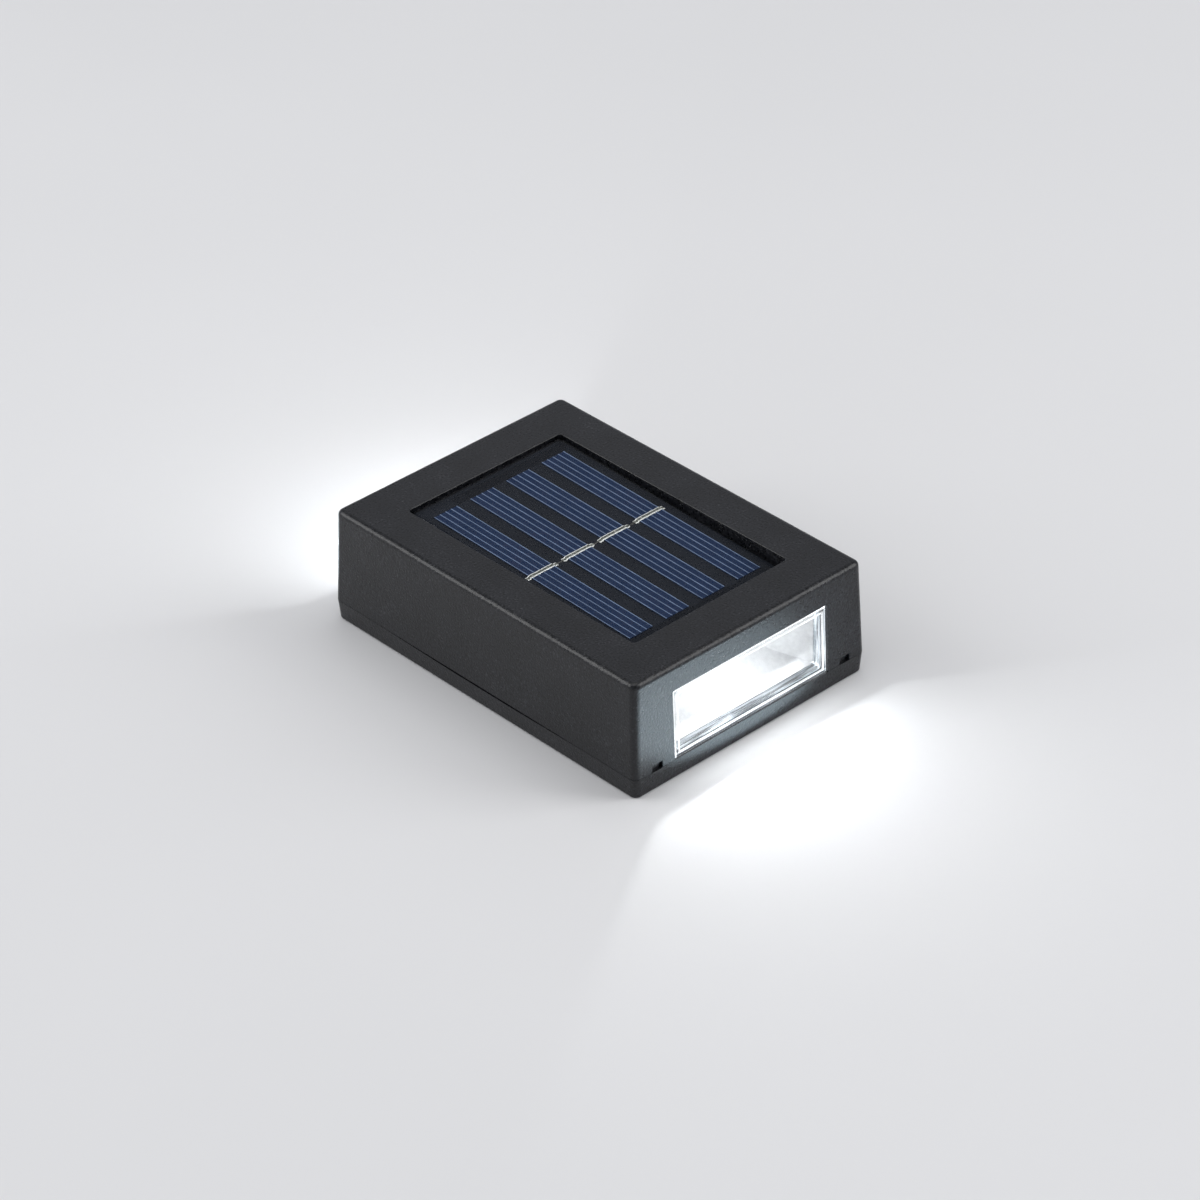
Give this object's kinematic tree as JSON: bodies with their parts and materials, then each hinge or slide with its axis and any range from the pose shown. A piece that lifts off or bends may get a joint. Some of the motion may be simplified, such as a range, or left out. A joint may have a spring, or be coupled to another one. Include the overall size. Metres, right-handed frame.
{
  "type": "solar wall light",
  "caption": "Small black rectangular solar wall light with a recessed solar panel in its front and a lit clear window in each end, hung on keyholes in its back.",
  "frame": {"origin": "centre of the flat back face, which lies on the table in the picture and on the wall in use", "axes": "+Z out of the wall through the solar panel; +X along the case, up the wall when the light hangs; +Y across the case"},
  "size_m": [0.095, 0.068, 0.028],
  "materials": {
    "case_plastic": "satin, fine spark texture",
    "clear_lens": "clear, polished",
    "reflector_white": "bright white, slightly grained",
    "lamp_resin": "clear resin, lit",
    "panel_black": "black solder resist",
    "panel_clear": "clear cover, polished",
    "cell_blue": "navy polycrystalline silicon",
    "silver_line": "printed silver",
    "solder": "tinned copper with solder",
    "foam": "closed-cell foam tape",
    "board_green": "green solder resist",
    "chip_black": "moulded",
    "ferrite": "ferrite with lacquered winding",
    "capacitor_sleeve": "shrunk sleeve",
    "resistor": "fired ceramic",
    "bare_steel": "nickel plated",
    "battery_sleeve": "shrunk sleeve",
    "phenolic": "phenolic sheet",
    "knob_black": "moulded",
    "wire_red": "insulation",
    "wire_black": "insulation"
  },
  "bodies": {
    "case": {"front_shell": "case_plastic", "rear_cover": "case_plastic", "cover_screws": "bare_steel", "upper_lens": "clear_lens", "lower_lens": "clear_lens", "upper_reflector": "reflector_white", "lower_reflector": "reflector_white", "upper_led": "lamp_resin", "lower_led": "lamp_resin", "led_legs": "bare_steel", "panel_board": "panel_black", "panel_cover": "panel_clear", "panel_gasket": "foam", "solar_cell_1": "cell_blue", "solar_cell_2": "cell_blue", "solar_cell_3": "cell_blue", "solar_cell_4": "cell_blue", "cell_fingers": "silver_line", "tabbing_ribbons": "solder", "control_board": "board_green", "board_screws": "bare_steel", "control_chip": "chip_black", "inductor": "ferrite", "capacitor": "capacitor_sleeve", "resistors": "resistor", "battery_can": "bare_steel", "battery_sleeve": "battery_sleeve", "battery_spring": "bare_steel", "battery_spring_plate": "bare_steel", "battery_contact_plate": "bare_steel", "switch_frame": "bare_steel", "switch_base": "phenolic", "switch_terminals": "bare_steel", "switch_screws": "bare_steel", "panel_wire_red": "wire_red", "panel_wire_black": "wire_black", "battery_wire_red": "wire_red", "battery_wire_black": "wire_black", "switch_wire_red": "wire_red", "switch_wire_black": "wire_black"},
    "switch_slider": {"switch_knob": "knob_black", "switch_clip": "bare_steel"}
  },
  "joints": [
    {"name": "switch_slide", "type": "slide", "parent": "case", "child": "switch_slider", "axis": [-1, 0, 0], "range_m": [0, 0.0025]}
  ]
}
